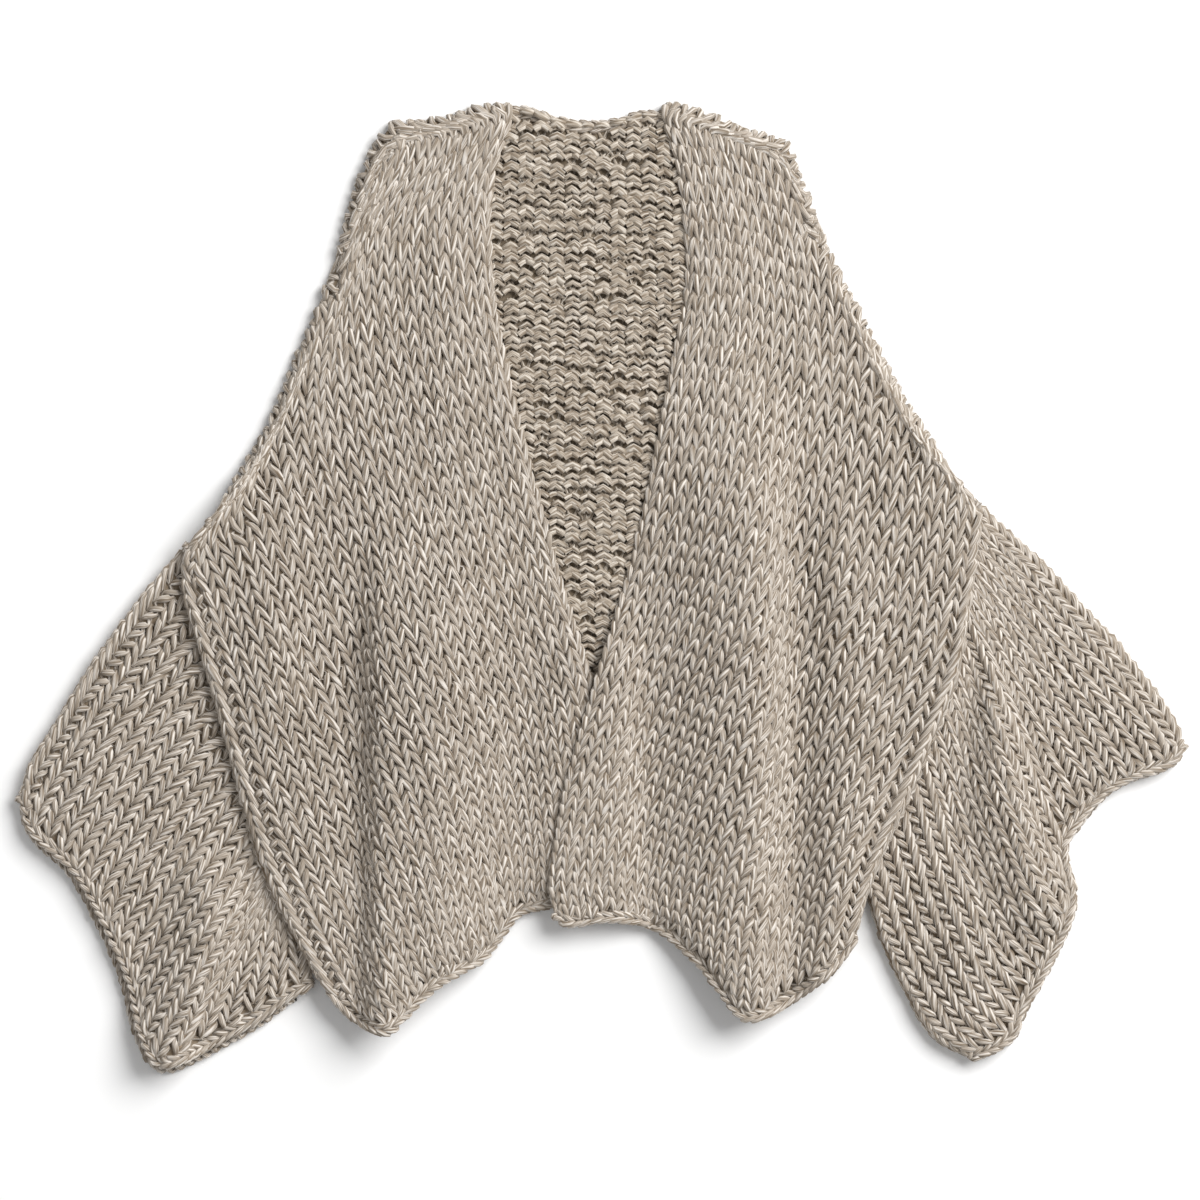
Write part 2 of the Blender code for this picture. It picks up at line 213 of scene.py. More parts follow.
# %% [markdown]
# Cloth turns round an edge in a fold: it leaves in the plane, goes round a small circle and comes back
# below. One function carries a line of points round such a circle, and all edges use it.

# %% Turning an edge
FOLD_STEPS = 8


def turned(start, way, radius, angle):
    """Points carried round a fold of the given radius by an angle, from flat (0) to folded back (pi)."""
    plan = start[:, :2] + way * radius * math.sin(angle)
    return np.column_stack([plan, start[:, 2] - radius * (1 - math.cos(angle))])


# %% [markdown]
# A front hangs from the shoulder and from the line along the upper arm, where the cloth rolls over to
# the floor. On its outer side it folds back under itself and rests on the sleeve. Its open edge curls
# down a little, as plain knitting does. All this is one grid of points, so the stitches can run over
# the edges without a break.

# %% The surface of a front
FRONT_COLUMNS = 110
FRONT_ROWS = 130
ROLL_STEPS = 10
ROLL_TURN = 0.8 * math.pi
EDGE_STEPS = 4
EDGE_CURL = 3.0
SLEEVE_PART_START = 0.82
SLEEVE_PART_BLEND = 0.12
LIFT_FADE = 0.15
FOLDS_END_START = 0.84
FOLDS_END_BLEND = 0.14
WAY_POINTS = 4
ON_THE_OTHER_FRONT = 0.01


def front_surface(arm_line, hem_line, edge_line, side_line, folds, turn, over):
    """Middle points of a front: rows from the rolled top to the hem, columns from the open edge on."""
    arm = curve(arm_line, FRONT_COLUMNS, by_x=True)
    hem = curve(hem_line, FRONT_COLUMNS)
    edge = curve(edge_line, FRONT_ROWS)
    side = curve(side_line, FRONT_ROWS)
    u = np.linspace(0, 1, FRONT_COLUMNS)
    v = np.linspace(0, 1, FRONT_ROWS)[:, None]
    at_sleeve = smooth((u - SLEEVE_PART_START) / SLEEVE_PART_BLEND)
    roll = ROLL_RADIUS + (ROLL_RADIUS_AT_SLEEVE - ROLL_RADIUS) * at_sleeve
    side_out = outward(side, -turn)
    side_start = side[0] - side[WAY_POINTS]
    side_start /= np.linalg.norm(side_start)
    arm_out = outward(arm, -turn) * (1 - at_sleeve)[:, None] + side_start * at_sleeve[:, None]
    arm_out /= np.linalg.norm(arm_out, axis=1)[:, None]
    edge_out = outward(edge, turn)
    plan = patch(*inset((arm, arm_out * (roll + HALF)[:, None]), (hem, outward(hem, turn) * HALF),
                        (edge, edge_out * HALF), (side, side_out * (FOLD_RADIUS + HALF))))
    x, y = plan[:, :, 0], plan[:, :, 1]
    wale = np.linalg.norm(np.diff(plan, axis=0), axis=2)
    to_hem = np.vstack([np.cumsum(wale[::-1], axis=0)[::-1], np.zeros((1, FRONT_COLUMNS))])
    crossing = over(x, y)
    start = LIFT_START_AT_ARM + (LIFT_START - LIFT_START_AT_ARM) * smooth(v / LIFT_FADE)
    lift = smooth((u[None] - start) / (LIFT_END - start))
    drop = HEM_DROP * smooth((HEM_DROP_START - to_hem) / (HEM_DROP_START - HEM_DROP_END))
    ends = 1 - smooth((u - FOLDS_END_START) / FOLDS_END_BLEND)
    z = ON_BACK + (SIDE_FOLD_TOP - ON_BACK) * lift + fold_height(x, y, folds) * ends[None]
    z = z + crossing - drop * (1 - lift) * (crossing < ON_THE_OTHER_FRONT)
    body = np.dstack([x, y, z])
    depth = 0.5 * (body[0, :, 2] - HALF) * (1 - at_sleeve)
    rows = []
    for step in range(ROLL_STEPS, 0, -1):
        angle = ROLL_TURN * step / ROLL_STEPS
        out = math.sin(angle) * (1 - at_sleeve) + step / ROLL_STEPS * at_sleeve
        row_plan = body[0, :, :2] + arm_out * (roll * out)[:, None]
        rows.append(np.column_stack([row_plan, body[0, :, 2] - depth * (1 - math.cos(angle))]))
    middle = np.concatenate([np.array(rows), body])
    side_way = np.vstack([np.repeat(side_out[:1], ROLL_STEPS, axis=0), side_out])
    edge_way = np.vstack([np.repeat(edge_out[:1], ROLL_STEPS, axis=0), edge_out])
    folded = [turned(middle[:, -1], side_way, FOLD_RADIUS, math.pi * step / FOLD_STEPS)
              for step in range(1, FOLD_STEPS + 1)]
    under = folded[-1].copy()
    under[:, :2] -= side_way * SIDE_RETURN
    curled = [turned(middle[:, 0], edge_way, EDGE_CURL, 0.5 * math.pi * step / EDGE_STEPS)
              for step in range(EDGE_STEPS, 0, -1)]
    return np.concatenate([np.array(curled).transpose(1, 0, 2), middle,
                           np.array(folded + [under]).transpose(1, 0, 2)], axis=1)


# %% [markdown]
# The right front, at the left of the picture, lies straight on the back. Its four edges are measured in
# the picture at 0.75 mm a pixel, with only as many points as the curves need.

# %% Right front
RIGHT_FRONT_EDGE = [
    (-68, 362), (-82, 318), (-85, 282), (-82, 225), (-72, 170), (-55, 98), (-29, 0), (-6, -78),
    (2, -150), (3, -232),
]
RIGHT_SHOULDER_AND_ARM = [
    (-68, 363), (-94, 359), (-117, 352), (-139, 349), (-162, 345), (-186, 303), (-204, 243),
    (-228, 183), (-255, 123), (-290, 63), (-315, 29),
]
RIGHT_SIDE_FOLD = [
    (-315, 29), (-313, -12), (-300, -62), (-285, -118), (-272, -170), (-258, -219), (-238, -262),
    (-208, -314),
]
RIGHT_HEM = [
    (3, -232), (-38, -243), (-60, -249), (-75, -267), (-90, -284), (-120, -300), (-135, -312),
    (-150, -327), (-164, -338), (-188, -330), (-209, -310),
]
right_front = front_surface(RIGHT_SHOULDER_AND_ARM, RIGHT_HEM, RIGHT_FRONT_EDGE, RIGHT_SIDE_FOLD,
                            RIGHT_FRONT_FOLDS, 1, lambda x, y: np.zeros_like(x))
print("right front grid", right_front.shape)

# %% [markdown]
# The left front climbs onto the right one below the point of the neck opening. A soft step in its height
# does that, instead of a second copy of the right front's form.

# %% Left front
LEFT_FRONT_EDGE = [
    (49, 362), (60, 325), (67, 268), (65, 220), (56, 175), (30, 48), (-8, -80), (-27, -147),
    (-38, -213), (-36, -241),
]
LEFT_SHOULDER_AND_ARM = [
    (49, 363), (75, 357), (97, 348), (120, 339), (142, 334), (155, 303), (180, 243), (211, 183),
    (245, 123), (287, 61),
]
LEFT_SIDE_FOLD = [
    (287, 59), (284, 20), (280, -20), (273, -72), (257, -118), (240, -162), (212, -228), (199, -274),
]
LEFT_HEM = [
    (-36, -249), (-27, -256), (0, -253), (22, -254), (45, -262), (75, -287), (105, -323),
    (117, -327), (135, -321), (165, -303), (183, -286), (196, -269),
]
CROSSING_LIFT = 11.0


def over_right_front(x, y):
    return CROSSING_LIFT * smooth((38 - x) / 30) * smooth((-2 - y) / 60)


left_front = front_surface(LEFT_SHOULDER_AND_ARM, LEFT_HEM, LEFT_FRONT_EDGE, LEFT_SIDE_FOLD,
                           LEFT_FRONT_FOLDS, -1, over_right_front)
print("left front grid", left_front.shape)

# %% [markdown]
# A sleeve is a short wide tube pressed flat. Its surface goes round: the upper layer, the fold along
# the underarm, the lower layer on the floor, and the fold along the top.

# %% The surface of a sleeve
SLEEVE_COLUMNS = 90
SLEEVE_ROWS = 80
FAN_SMOOTHING = 4
FREE_START = 0.16
FREE_RISE = 0.3
FREE_EDGE_POWER = 0.35
PEEK_START = 0.6
PEEK_RISE = 0.4
PEEK_EDGE_POWER = 0.5


def sleeve_surface(top_line, cuff_line, low_line, arm_line, fan, folds, peek, turn):
    """The whole ring of a sleeve. fan pairs shares of the cuff with shares of the armhole, which sets
    how the wales lean. The folds fade towards the armhole and the long edges, and peek is how far the
    lower layer reaches past the upper one at the cuff."""
    top = curve(top_line, SLEEVE_ROWS)
    low = curve(low_line, SLEEVE_ROWS)
    cuff = curve(cuff_line, SLEEVE_COLUMNS)
    even = curve(arm_line, SLEEVE_COLUMNS)
    shares = np.linspace(0, 1, SLEEVE_COLUMNS)
    at_cuff, at_arm = np.array(fan).T
    wanted = running_mean(np.interp(shares, at_cuff, at_arm), FAN_SMOOTHING)
    wanted[0], wanted[-1] = 0.0, 1.0
    armhole = np.column_stack([np.interp(wanted, shares, even[:, k]) for k in range(2)])
    top_out = outward(top, -turn)
    low_out = outward(low, turn)
    cuff_out = outward(cuff, -turn)
    plan = patch(*inset((armhole, np.zeros_like(armhole)), (cuff, cuff_out * HALF),
                        (top, top_out * (FOLD_RADIUS + HALF)), (low, low_out * (FOLD_RADIUS + HALF))))
    x, y = plan[:, :, 0], plan[:, :, 1]
    t = np.linspace(0, 1, SLEEVE_ROWS)[:, None]
    s = np.linspace(0, 1, SLEEVE_COLUMNS)[None, :]
    from_edges = np.clip(np.sin(math.pi * s), 0, 1)
    free = smooth((t - FREE_START) / FREE_RISE) * from_edges ** FREE_EDGE_POWER
    upper = np.dstack([x, y, SLEEVE_TOP + fold_height(x, y, folds) * free])
    lower = np.dstack([x, y, np.full_like(x, ON_FLOOR)])
    shown = peek * smooth((t - PEEK_START) / PEEK_RISE) * from_edges ** PEEK_EDGE_POWER
    lower[:, :, :2] += shown[:, :, None] * cuff_out[None]
    at_low = [turned(upper[:, -1], low_out, FOLD_RADIUS, math.pi * k / FOLD_STEPS)
              for k in range(1, FOLD_STEPS)]
    at_top = [turned(upper[:, 0], top_out, FOLD_RADIUS, math.pi * k / FOLD_STEPS)
              for k in range(FOLD_STEPS - 1, 0, -1)]
    ring = [lower[:, j] for j in range(SLEEVE_COLUMNS)][::-1] + at_top
    ring += [upper[:, j] for j in range(SLEEVE_COLUMNS)] + at_low
    return np.array(ring).transpose(1, 0, 2)


# %% [markdown]
# The right sleeve shows its folded top edge, its cuff in a zigzag, and a short piece of the underarm
# fold. The armhole line is hidden under the front, and is guessed.

# %% Right sleeve
RIGHT_SLEEVE_TOP = [
    (-293, 34), (-313, 30), (-327, 18), (-352, -12), (-374, -42), (-395, -72), (-413, -102),
    (-432, -132), (-441, -160),
]
RIGHT_CUFF = [
    (-441, -160), (-432, -186), (-407, -207), (-392, -225), (-372, -260), (-355, -297), (-350, -316),
    (-343, -339), (-333, -357), (-321, -360), (-300, -351), (-278, -340), (-255, -328), (-233, -313),
    (-212, -301),
]
RIGHT_SLEEVE_LOW = [(-231, -215), (-221, -256), (-212, -301)]
RIGHT_ARMHOLE = [(-293, 34), (-287, -62), (-265, -145), (-231, -215)]
RIGHT_FAN = [(0, 0), (0.16, 0.34), (0.34, 0.65), (0.57, 0.92), (0.72, 0.965), (1, 1)]
right_sleeve = sleeve_surface(RIGHT_SLEEVE_TOP, RIGHT_CUFF, RIGHT_SLEEVE_LOW, RIGHT_ARMHOLE,
                              RIGHT_FAN, RIGHT_SLEEVE_FOLDS, 5.0, 1)

# %% [markdown]
# The left sleeve lies more open: its cuff has two deep bows, and its wales fan out from the armhole.

# %% Left sleeve
LEFT_SLEEVE_TOP = [
    (266, 72), (286, 61), (299, 48), (333, 18), (361, -12), (390, -42), (414, -72), (435, -102),
    (443, -121),
]
LEFT_CUFF = [
    (443, -121), (434, -134), (399, -147), (378, -162), (354, -192), (351, -207), (357, -241),
    (341, -282), (316, -327), (309, -345), (292, -357), (279, -362),
]
LEFT_SLEEVE_LOW = [
    (191, -218), (200, -245), (210, -277), (225, -308), (240, -336), (256, -352), (279, -362),
]
LEFT_ARMHOLE = [(266, 72), (264, 20), (256, -72), (226, -155), (191, -218)]
LEFT_FAN = [(0, 0), (0.17, 0.10), (0.25, 0.15), (0.37, 0.20), (0.53, 0.34), (0.67, 0.50),
            (0.83, 0.72), (1, 1)]
left_sleeve = sleeve_surface(LEFT_SLEEVE_TOP, LEFT_CUFF, LEFT_SLEEVE_LOW, LEFT_ARMHOLE,
                             LEFT_FAN, LEFT_SLEEVE_FOLDS, 1.5, -1)
print("sleeve grid", left_sleeve.shape)

# %% [markdown]
# The back shows between the fronts. It is a plain flat panel, and only its upper edge is seen whole.

# %% The surface of the back
BACK_COLUMNS = 90
BACK_ROWS = 110
BACK_TOP = [
    (-152, 336), (-112, 349), (-62, 359), (-36, 352), (-12, 347), (14, 350), (38, 356), (92, 346),
    (131, 328),
]
BACK_RIGHT_SIDE = [
    (-152, 336), (-174, 300), (-193, 239), (-217, 178), (-241, 116), (-272, 62), (-290, 26),
    (-285, -62), (-263, -144), (-229, -214), (-204, -276),
]
BACK_LEFT_SIDE = [
    (131, 328), (145, 297), (169, 238), (200, 177), (231, 116), (256, 74), (261, 48), (261, 20),
    (253, -72), (224, -156), (189, -219), (160, -266),
]
BACK_HEM = [
    (-204, -276), (-163, -295), (-124, -260), (-82, -224), (-36, -202), (15, -206), (56, -224),
    (84, -248), (116, -278), (138, -280), (160, -266),
]
back_plan = patch(curve(BACK_TOP, BACK_COLUMNS), curve(BACK_HEM, BACK_COLUMNS),
                  curve(BACK_RIGHT_SIDE, BACK_ROWS), curve(BACK_LEFT_SIDE, BACK_ROWS))
back = np.dstack([back_plan, np.full(back_plan.shape[:2], ON_FLOOR)])
print("back grid", back.shape)

# %% [markdown]
# Knitting is a lattice of wales, the columns that run from hem to shoulder, and rows. The wales share
# the width of the cloth evenly, measured across themselves, and the rows are counted from the hem with
# a pitch that grows where the weight of the garment has stretched it. Every stitch takes its place from
# this lattice, so the loops bunch and lean with the folds as real ones do.

# %% A lattice of wales and rows
ROW_STEP = 0.25
BEYOND_ROWS = 3
AHEAD = 5
NEAR = 60
SHIFT_SMOOTHING = 2


class Lattice:
    """Places on a piece of cloth by wale number and row number. The rows are square to the wales, and
    row 0 is at the hem of the first wale. Past its ends a wale stands still, but its normals are worked
    out as if it went on, so that a loop there keeps its way up."""

    def __init__(self, surface, wales, pitch, growth=0.0, density=None, square_at=0.5,
                 follow=False):
        surface = surface[::-1]
        way = np.gradient(surface, axis=0)
        way /= np.linalg.norm(way, axis=2)[:, :, None] + 1e-9
        step = np.diff(surface, axis=1)
        along = 0.5 * (way[:, 1:] + way[:, :-1])
        across = step - (step * along).sum(axis=2)[:, :, None] * along
        width = np.linalg.norm(across, axis=2)
        if density is not None:
            width = width * density(np.linspace(0, 1, width.shape[1]))[None]
        if follow:
            width = np.repeat(width[:len(width) // 2].mean(axis=0)[None], len(width), axis=0)
        total = np.hstack([np.zeros((len(width), 1)), np.cumsum(width, axis=1)])
        total /= total[:, -1:]
        self.wales = wales
        lines = np.empty((wales + 1, len(surface), 3))
        for row in range(len(surface)):
            for axis in range(3):
                lines[:, row, axis] = np.interp(np.linspace(0, 1, wales + 1), total[row],
                                                surface[row, :, axis])
        lengths = np.linalg.norm(np.diff(lines, axis=1), axis=2)
        reach = np.hstack([np.zeros((wales + 1, 1)), np.cumsum(lengths, axis=1)])
        self.pitch, self.growth = pitch, growth
        shift = self.hem_shift(lines, reach, square_at)
        rows = self.row_at(reach + shift[:, None])
        self.first = rows[:, 0]
        self.last = rows[:, -1]
        self.start = math.floor(self.first.min()) - 1
        count = int((self.last.max() - self.start) / ROW_STEP) + 3
        self.grid = np.empty((wales + 1, count, 3))
        beyond = np.empty_like(self.grid)
        wanted = self.start + np.arange(count) * ROW_STEP
        for k in range(wales + 1):
            before = (lines[k, 1] - lines[k, 0]) / (rows[k, 1] - rows[k, 0])
            after = (lines[k, -1] - lines[k, -2]) / (rows[k, -1] - rows[k, -2])
            for axis in range(3):
                self.grid[k, :, axis] = np.interp(wanted, rows[k], lines[k, :, axis])
            beyond[k] = (np.clip(wanted - rows[k, -1], 0, BEYOND_ROWS)[:, None] * after
                         + np.clip(wanted - rows[k, 0], -BEYOND_ROWS, 0)[:, None] * before)
        up = np.gradient(self.grid + beyond, axis=1)
        aside = np.gradient(self.grid + beyond, axis=0)
        normal = np.cross(aside, up)
        self.normal = normal / (np.linalg.norm(normal, axis=2)[:, :, None] + 1e-9)

    def hem_shift(self, lines, reach, square_at):
        """How much further each wale's hem is from row 0 than the first one's, so that a row that starts
        part of the way up the first wale crosses every wale squarely."""
        shift = np.zeros(self.wales + 1)
        index = int(square_at * (lines.shape[1] - 1))
        length = reach[0, index]
        for k in range(1, self.wales + 1):
            here = np.array([np.interp(length, reach[k - 1], lines[k - 1, :, a]) for a in range(3)])
            ahead = np.array([np.interp(length + AHEAD, reach[k - 1], lines[k - 1, :, a])
                              for a in range(3)])
            way = (ahead - here) / np.linalg.norm(ahead - here)
            away = np.abs((lines[k] - here) @ way)
            near = np.linalg.norm(lines[k] - here, axis=1) < NEAR
            away[~near] = np.inf
            found = reach[k, int(away.argmin())]
            if not near.any():
                found = length
            shift[k] = shift[k - 1] + length - found
            length = found
        return running_mean(shift, SHIFT_SMOOTHING)

    def row_at(self, length):
        """The row number at a length from row 0."""
        if self.growth == 0:
            return length / self.pitch
        inside = np.maximum(self.pitch ** 2 + 2 * self.growth * length, 1.0)
        return (np.sqrt(inside) - self.pitch) / self.growth

    def flip(self):
        """Turns the normals over."""
        self.normal = -self.normal
        return self

    def at(self, wale, row):
        """The places and normals at wale and row numbers."""
        k = np.clip(np.floor(wale).astype(int), 0, self.wales - 1)
        q = (row - self.start) / ROW_STEP
        j = np.clip(np.floor(q).astype(int), 0, self.grid.shape[1] - 2)
        a = (wale - k)[..., None]
        b = (q - j)[..., None]
        found = []
        for field in (self.grid, self.normal):
            low = field[k, j] * (1 - a) + field[k + 1, j] * a
            high = field[k, j + 1] * (1 - a) + field[k + 1, j + 1] * a
            found.append(low * (1 - b) + high * b)
        place, normal = found
        return place, normal / (np.linalg.norm(normal, axis=-1)[..., None] + 1e-9)


# %% [markdown]
# One stitch is a loop of yarn: it comes out from under the loops of the row before, rises as two fat
# legs that make the V, and passes behind the next row. The same loop seen from its other side shows the
# bumps of purl. The rows of LOOP are points on half of it: how far across in wales, how far along in leg
# lengths, how high in yarn radiuses, and how thick.

# %% The loop of one stitch
LOOP = [
    (-0.50, -0.22, -1.00, 0.55), (-0.27, -0.20, -0.95, 0.55), (-0.09, -0.08, -0.40, 0.50),
    (-0.14, 0.17, 0.30, 0.78), (-0.23, 0.48, 0.72, 0.98), (-0.33, 0.80, 0.62, 1.00),
    (-0.42, 1.06, -0.20, 0.70), (-0.24, 1.17, -0.95, 0.55),
]
LOOP_HEAD = (0.0, 1.20, -1.00, 0.55)
PURL_ARCS = {0: -0.11, 1: 0.05, 7: -0.05, 8: 0.08, 9: -0.05, 15: 0.05, 16: -0.11}
LEG_CENTRE = 0.26
LEG_FROM, LEG_TO = -0.1, 1.1
PURL_THICKNESS = 1.45


def stitch_path(purl, spread):
    """The loop from one sinker to the next: across in wales, along in leg lengths, height and size.
    The second point shapes the bump of purl and is left out where the knit side shows."""
    half = LOOP if purl else LOOP[:1] + LOOP[2:]
    path = np.array(half + [LOOP_HEAD] + [(-across, *rest) for across, *rest in half[::-1]])
    legs = (path[:, 1] > LEG_FROM) & (path[:, 1] < LEG_TO)
    away = LEG_CENTRE + (np.abs(path[legs, 0]) - LEG_CENTRE) * spread
    path[legs, 0] = np.sign(path[legs, 0]) * away
    if purl:
        path[:, 3] = PURL_THICKNESS - path[:, 3]
        for point, rise in PURL_ARCS.items():
            path[point, 1] += rise
    return path


print("points in a knit stitch", len(stitch_path(False, 1.0)), "in a purl one", len(stitch_path(True, 1.0)))

# %% [markdown]
# The loops are then run over the whole lattice. A curve with a bevel would also give a tube, but arrays
# of rings build thousands of loops in a second and let the legs swell in the middle like a grain of
# rice. No two hand-made stitches are alike, so each loop leans, stands and swells a little differently,
# always in the same way for the same seed.

# %% Loops of yarn
LOOP_SIDES = 6
VARIANTS = 8
TOP_REACH = 0.4
SINKER_FROM = 0.45
PAST_EDGE = 0.1
FLOOR_CLEAR = 0.3
TILE_MARGIN = 0.02
UNEVEN_LENGTH = 0.6
UNEVEN_PLACE = 0.8
UNEVEN_LEAN = 0.5
UNEVEN_HEIGHT = 2


def stitch_cells(lattice, overhang, keep):
    """The wale and row numbers of the stitches between the two ends of each wale."""
    cells = []
    for wale in range(lattice.wales):
        start = math.ceil(max(lattice.first[wale], lattice.first[wale + 1]) - overhang)
        end = math.ceil(max(lattice.last[wale], lattice.last[wale + 1]) - TOP_REACH)
        cells += [(wale, row) for row in range(start, end)]
    cells = np.array(cells, float)
    if keep is not None:
        middle, _ = lattice.at(cells[:, 0] + 0.5, cells[:, 1] + 0.5)
        cells = cells[keep(middle[:, 0], middle[:, 1])]
    return cells


def tubes(centre, normal, size, sides):
    """Rings of vertices round many lines at once, with sides points each."""
    way = np.gradient(centre, axis=1)
    way /= np.linalg.norm(way, axis=2)[..., None] + 1e-9
    side = np.cross(way, normal)
    side /= np.linalg.norm(side, axis=2)[..., None] + 1e-9
    up = np.cross(side, way)
    turn = 2 * math.pi * (np.arange(sides) / sides) - 0.5 * math.pi
    ring = (np.cos(turn)[None, None, :, None] * side[:, :, None]
            + np.sin(turn)[None, None, :, None] * up[:, :, None])
    vertices = centre[:, :, None] + ring * size[:, :, None, None]
    vertices[..., 2] = np.maximum(vertices[..., 2], FLOOR_CLEAR)
    return vertices.reshape(-1, 3)


def tube_faces(count, rings, sides, random):
    """Faces of the tubes, and their places in one of the tiles of the texture."""
    i, j = np.meshgrid(np.arange(rings - 1), np.arange(sides), indexing="ij")
    after = (j + 1) % sides
    quad = np.stack([i * sides + j, i * sides + after, (i + 1) * sides + after, (i + 1) * sides + j],
                    axis=-1).reshape(-1, 4)
    faces = quad[None] + (np.arange(count) * rings * sides)[:, None, None]
    share_u = np.stack([i, i, i + 1, i + 1], axis=-1).reshape(-1, 4) / (rings - 1)
    share_v = np.stack([j, j + 1, j + 1, j], axis=-1).reshape(-1, 4) / sides
    tile = random.integers(0, VARIANTS, size=(count, 2))
    width = 1 - 2 * TILE_MARGIN
    u = (tile[:, 0][:, None, None] + TILE_MARGIN + width * share_u[None]) / VARIANTS
    v = (tile[:, 1][:, None, None] + TILE_MARGIN + width * share_v[None]) / VARIANTS
    return faces.reshape(-1, 4), np.stack([u, v], axis=-1).reshape(-1, 2)


def loops(lattice, radius, leg, reach=1.0, spread=1.0, overhang=0.6, purl=False, keep=None, seed=1,
          sides=LOOP_SIDES, uneven=0.05):
    """Vertices, faces and texture places of every loop on a lattice. A leg has a length, and spans at
    least reach rows. keep tells from x and y which stitches are made."""
    random = np.random.default_rng(seed)
    path = stitch_path(purl, spread)
    cells = stitch_cells(lattice, overhang, keep)
    count = len(cells)

    def differences(share):
        return share * uneven * random.normal(size=(count, 1))

    leg = np.maximum(leg / (lattice.pitch + lattice.growth * np.maximum(cells[:, 1:], 0)), reach)
    across = path[None, :, 0] * (1 + differences(1))
    along = path[None, :, 1] * leg * (1 + differences(UNEVEN_LENGTH))
    along = along + (differences(UNEVEN_PLACE) if purl else 0.0)
    sinkers = (np.abs(path[:, 0]) > SINKER_FROM) & (path[:, 1] < 0)
    across[:, sinkers] = path[sinkers, 0]
    lean = differences(1) * path[None, :, 1]
    height = path[None, :, 2] * radius * (1 + differences(UNEVEN_HEIGHT))
    size = path[None, :, 3] * radius * (1 + differences(1))
    wale = np.clip(cells[:, :1] + 0.5 + across + UNEVEN_LEAN * lean, 0, lattice.wales)
    left = np.minimum(wale.astype(int), lattice.wales - 1)
    share = wale - left
    hem = lattice.first[left] * (1 - share) + lattice.first[left + 1] * share
    top = lattice.last[left] * (1 - share) + lattice.last[left + 1] * share
    row = np.clip(cells[:, 1:] + along, hem - PAST_EDGE, top + PAST_EDGE)
    place, normal = lattice.at(wale, row)
    if purl:
        height = -height
    vertices = tubes(place + normal * height[..., None], normal, size, sides)
    faces, places = tube_faces(count, len(path), sides, random)
    return vertices, faces, places


# %% [markdown]
# Vertices, faces and texture places become a mesh in one step each with foreach_set, which is many times
# quicker than adding them one by one. The texture places are kept in a layer of their own.

# %% Mesh objects
def join(parts):
    """Several (vertices, faces, texture places) as one."""
    offset = 0
    all_faces = []
    for vertices, faces, _ in parts:
        all_faces.append(faces + offset)
        offset += len(vertices)
    return (np.concatenate([p[0] for p in parts]), np.concatenate(all_faces),
            np.concatenate([p[2] for p in parts]))


def mesh_object(name, part, material):
    """A shown object from vertices in millimetres, four-cornered faces and texture places."""
    vertices, faces, places = part
    mesh = bpy.data.meshes.new(name)
    mesh.vertices.add(len(vertices))
    mesh.vertices.foreach_set("co", (vertices * METRES).ravel())
    mesh.loops.add(faces.size)
    mesh.loops.foreach_set("vertex_index", faces.ravel())
    mesh.polygons.add(len(faces))
    mesh.polygons.foreach_set("loop_start", np.arange(len(faces)) * 4)
    mesh.polygons.foreach_set("use_smooth", np.ones(len(faces), bool))
    mesh.update(calc_edges=True)
    layer = mesh.uv_layers.new(name="OFBake")
    layer.data.foreach_set("uv", places.ravel())
    mesh.validate()
    mesh.materials.append(material)
    thing = bpy.data.objects.new(name, mesh)
    bpy.context.scene.collection.objects.link(thing)
    print(name, len(faces) * 2, "triangles")
    return thing


# %% [markdown]
# A material is a tree of shader nodes. These helpers add a node, do a sum and colour a value, so that the
# materials below read as short recipes.

# %% Helpers for shader nodes
def node(tree, kind, **values):
    """A new node with its named settings and inputs."""
    made = tree.nodes.new(kind)
    for key, value in values.items():
        if key in made.inputs:
            made.inputs[key].default_value = value
        else:
            setattr(made, key, value)
    return made


def calculate(tree, operation, *values):
    """A maths node on numbers or sockets; gives its output."""
    made = tree.nodes.new("ShaderNodeMath")
    made.operation = operation
    for i, value in enumerate(values):
        if isinstance(value, (int, float)):
            made.inputs[i].default_value = value
        else:
            tree.links.new(value, made.inputs[i])
    return made.outputs[0]


def ramp(tree, factor, stops):
    """A colour ramp on a socket; stops are (place, linear colour)."""
    made = tree.nodes.new("ShaderNodeValToRGB")
    elements = made.color_ramp.elements
    while len(elements) < len(stops):
        elements.new(0.5)
    for element, (place, colour) in zip(elements, stops):
        element.position = place
        element.color = (*colour, 1.0)
    tree.links.new(factor, made.inputs[0])
    return made.outputs[0]


def linear(red, green, blue):
    """A linear colour from the usual 0 to 255 values."""
    return tuple(((c / 255 + 0.055) / 1.055) ** 2.4 if c > 10 else c / 255 / 12.92
                 for c in (red, green, blue))


# %% [markdown]
# The yarn is a marl of cream and taupe plies. Its colour comes from noise stretched along the yarn and
# turned a little round it, which gives the short streaks of twisted plies. The noise is read from the
# texture places of the loops, so it follows every bend. An image could do this too, but noise stays
# sharp close up. A weak sheen stands for the fine hairs of wool.

# %% Yarn material
PLIES_ROUND = 9.0
TWIST = 3.0
FIBRES_IN_PLY = 3.0
PLY_LENGTH, PLY_DETAIL = 4.0, 1.0
FIBRE_LENGTH, FIBRE_DETAIL = 6.0, 2.0
PLY_SHARE, FIBRE_SHARE = 0.62, 0.38
DARK_STOP, MIDDLE_STOP, LIGHT_STOP = 0.38, 0.50, 0.61
YARN_RELIEF = 0.0006


